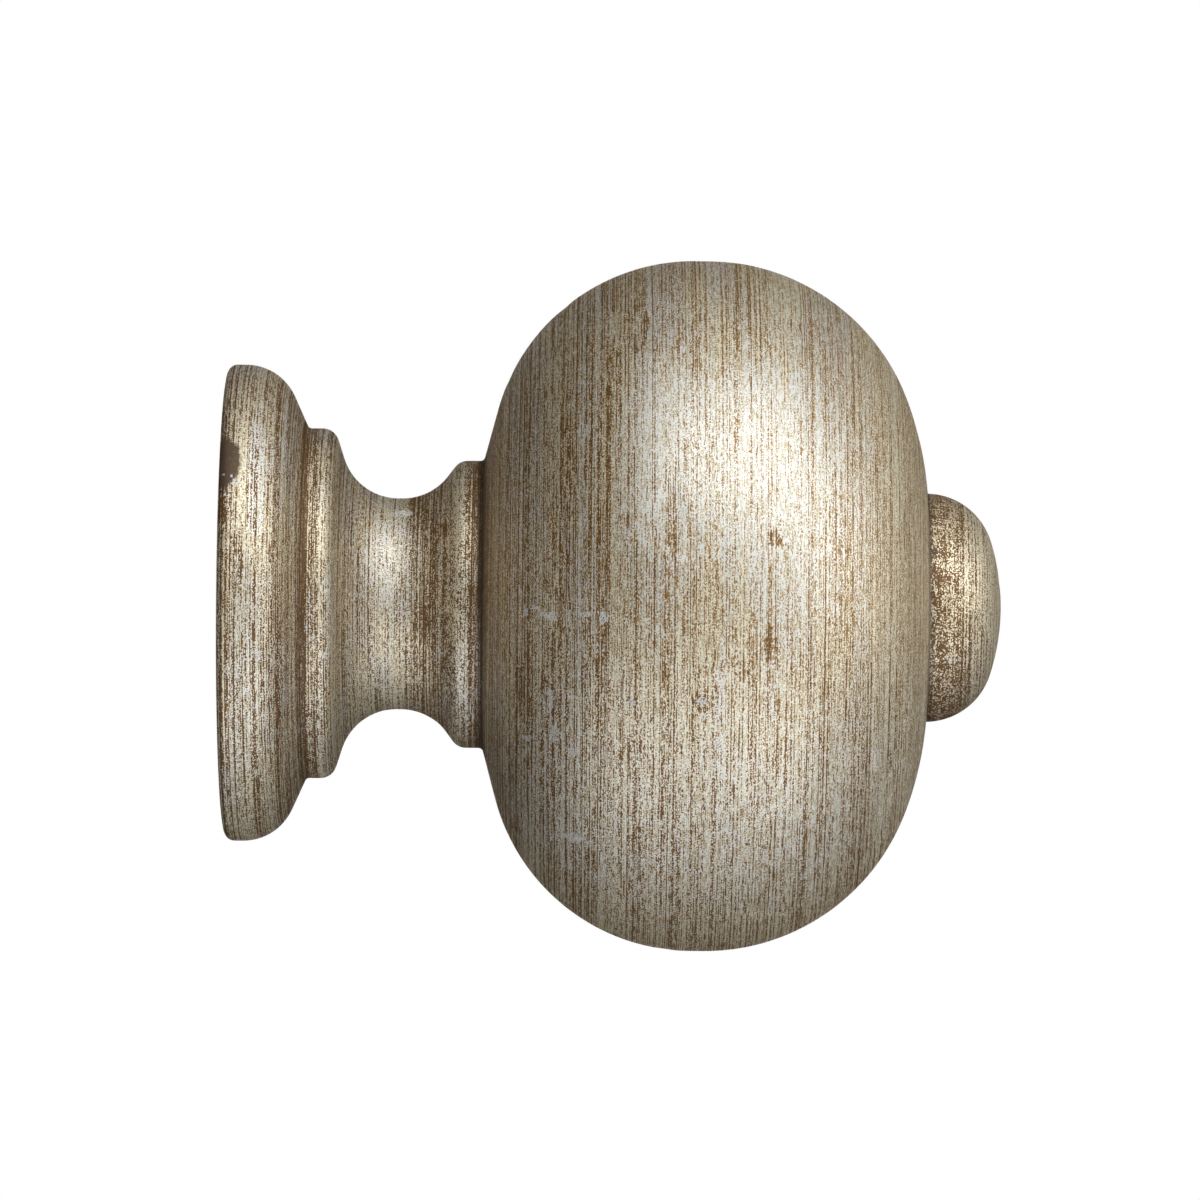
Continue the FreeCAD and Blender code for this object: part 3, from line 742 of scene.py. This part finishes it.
# The hole's zone is a little larger than the hole, so that it takes in the drill's point.
hole_margin = 1.2
turning_values = {
    "Rings": len(section),
    "Steps round": 320,
    "Ridge depth": 0.03 * mm,
    "Ridges per metre": 420.0,
    "Dent depth": 0.12 * mm,
    "Dents per metre": 130.0,
    "Hole radius": hole_margin * hole,
    "Hole depth": hole_margin * screw_hole_depth,
    "Seed": 7.0,
    "Leaf": leaf,
    "Bare wood": wood,
}
for socket in lathe.interface.items_tree:
    if socket.in_out == "INPUT" and socket.name in turning_values:
        turning[socket.identifier] = turning_values[socket.name]
blank.update_tag()
shown = blank.evaluated_get(bpy.context.evaluated_depsgraph_get())
turned_mesh = bpy.data.meshes.new_from_object(shown)
turned_mesh.name = "turned_finial"
finial = bpy.data.objects.new("turned_finial", turned_mesh)
bpy.context.scene.collection.objects.link(finial)
bpy.data.objects.remove(blank)
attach(finial, "root")
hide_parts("finial")

# The floor
# A plain pale disc well under the finial, as under a thing that hangs from its pole.
# To the camera it is paler than the light that it throws back, and it keeps the shadow.
# Its rim is see-through, so that it ends without a line against the white.
floor_drop = 800.0 * mm
floor_radius = 500.0 * mm
floor_steps = 96
floor_middle = (0.5 * length, 0.0, -floor_drop)
floor_grey = (0.6, 0.6, 0.6, 1.0)
floor_roughness = 0.9
floor_white_share = 0.7
fade_start = 180.0 * mm
fade_end = 480.0 * mm
plain_white = (1.0, 1.0, 1.0, 1.0)
floor_mesh = bpy.data.meshes.new("floor")
floor_points = []
for step in range(floor_steps):
    angle = math.tau * step / floor_steps
    floor_x = floor_middle[0] + floor_radius * math.cos(angle)
    floor_points.append((floor_x, floor_radius * math.sin(angle), -floor_drop))
floor_mesh.from_pydata(floor_points, [], [list(range(floor_steps))])
floor = bpy.data.objects.new("floor", floor_mesh)
bpy.context.scene.collection.objects.link(floor)
floor_paint = bpy.data.materials.new("pale_floor")
floor_paint.use_nodes = True
tree = floor_paint.node_tree
shader = tree.nodes["Principled BSDF"]
shader.inputs["Base Color"].default_value = floor_grey
shader.inputs["Roughness"].default_value = floor_roughness
object_place = add(tree, "ShaderNodeTexCoord", {}).outputs["Object"]
middle_inputs = {0: object_place, 1: floor_middle}
from_middle = add(tree, "ShaderNodeVectorMath", middle_inputs, operation="DISTANCE").outputs["Value"]
faded = rise(tree, from_middle, fade_start, fade_end)
clear = add(tree, "ShaderNodeBsdfTransparent", {})
white = add(tree, "ShaderNodeEmission", {"Color": plain_white, "Strength": 1.0})
rays = add(tree, "ShaderNodeLightPath", {}).outputs
paler = reckon(tree, "MULTIPLY", rays["Is Camera Ray"], floor_white_share)
pale = add(tree, "ShaderNodeMixShader", {0: paler, 1: shader.outputs[0], 2: white.outputs[0]})
mixed = add(tree, "ShaderNodeMixShader", {0: faded, 1: pale.outputs[0], 2: clear.outputs[0]})
join(tree, tree.nodes["Material Output"].inputs["Surface"], mixed.outputs[0])
floor_mesh.materials.append(floor_paint)

# The studio
# A white backdrop and a dim room. The key is a wide soft box up to the right, with boxes to the left, above,
# at the side and by the pole's edge, and three low in front. Two low cards show only in the shine, and two
# boxes behind light the sides that the photograph doesn't show, and aren't mirrored.
room_strength = 0.02
backdrop_start = 0.97
backdrop_full = 0.999
world = bpy.data.worlds.new("studio")
bpy.context.scene.world = world
world.use_nodes = True
tree = world.node_tree
tree.nodes.clear()
room = add(tree, "ShaderNodeBackground", {"Color": plain_white, "Strength": room_strength})
backdrop = add(tree, "ShaderNodeBackground", {"Color": plain_white, "Strength": 1.0})
heading = add(tree, "ShaderNodeTexCoord", {}).outputs["Generated"]
away_from_camera = add(tree, "ShaderNodeSeparateXYZ", {0: heading}).outputs["Y"]
behind = rise(tree, away_from_camera, backdrop_start, backdrop_full)
rays = add(tree, "ShaderNodeLightPath", {}).outputs
mirrored = reckon(tree, "MULTIPLY", rays["Is Glossy Ray"], behind)
seen_or_mirrored = reckon(tree, "MAXIMUM", rays["Is Camera Ray"], mirrored)
seen = reckon(tree, "MAXIMUM", seen_or_mirrored, rays["Is Transmission Ray"])
sky = add(tree, "ShaderNodeMixShader", {0: seen, 1: room.outputs[0], 2: backdrop.outputs[0]})
add(tree, "ShaderNodeOutputWorld", {0: sky.outputs[0]})

# Each box: degrees right and up from the camera's side, then distance, width and height in metres, and watts.
soft_boxes = {
    "key_box": (38.0, 44.0, 0.95, 0.6, 0.5, 4.4),
    "left_box": (-8.0, 44.0, 0.95, 0.4, 0.4, 2.45),
    "top_box": (20.0, 75.0, 0.95, 0.6, 0.6, 1.25),
    "side_box": (72.0, 12.0, 0.95, 0.6, 0.5, 3.95),
    "low_left_box": (-35.0, -28.0, 0.5, 0.3, 0.3, 0.26),
    "low_front_box": (10.0, -30.0, 0.5, 0.3, 0.3, 0.42),
    "low_right_box": (45.0, -35.0, 0.5, 0.3, 0.3, 0.54),
    "low_left_card": (-45.0, -50.0, 0.45, 0.3, 0.3, 0.56),
    "low_right_card": (45.0, -50.0, 0.45, 0.3, 0.3, 0.36),
    "edge_box": (-95.0, 0.0, 0.95, 0.3, 0.3, 0.3),
    "back_box": (180.0, 4.0, 1.2, 0.5, 0.4, 7.0),
    "pole_side_box": (-150.0, 15.0, 1.0, 0.5, 0.5, 6.0),
}
not_mirrored = ("back_box", "pole_side_box")
for name, (right, up, distance, width, height, power) in soft_boxes.items():
    lamp = bpy.data.lights.new(name, "AREA")
    lamp.shape = "RECTANGLE"
    lamp.size = width
    lamp.size_y = height
    lamp.energy = power
    box = bpy.data.objects.new(name, lamp)
    bpy.context.scene.collection.objects.link(box)
    box.visible_camera = False
    box.visible_glossy = name not in not_mirrored
    box.visible_diffuse = not name.endswith("card")
    right = math.radians(right)
    up = math.radians(up)
    box.location = (
        0.5 * length + distance * math.sin(right) * math.cos(up),
        -distance * math.cos(right) * math.cos(up),
        distance * math.sin(up),
    )
    # A lamp shines along its own minus Z, and this turns that axis on to the finial.
    box.rotation_euler = (math.pi / 2.0 - up, 0.0, right)

# The camera
# Level with the axis and square to it, a metre away, and rolled a little, as the photograph is.
# The long lens frames the finial as large as it is there.
camera_place = (47.0 * mm, -1000.0 * mm, 0.67 * mm)
camera_roll = math.radians(-0.43)
camera_data = bpy.data.cameras.new("camera")
camera_data.sensor_width = 36.0
camera_data.lens = 238.07
camera = bpy.data.objects.new("camera", camera_data)
bpy.context.scene.collection.objects.link(camera)
camera.location = camera_place
camera.rotation_euler = (math.radians(90.0), camera_roll, 0.0)
bpy.context.scene.camera = camera
bpy.context.scene.view_settings.view_transform = "Standard"
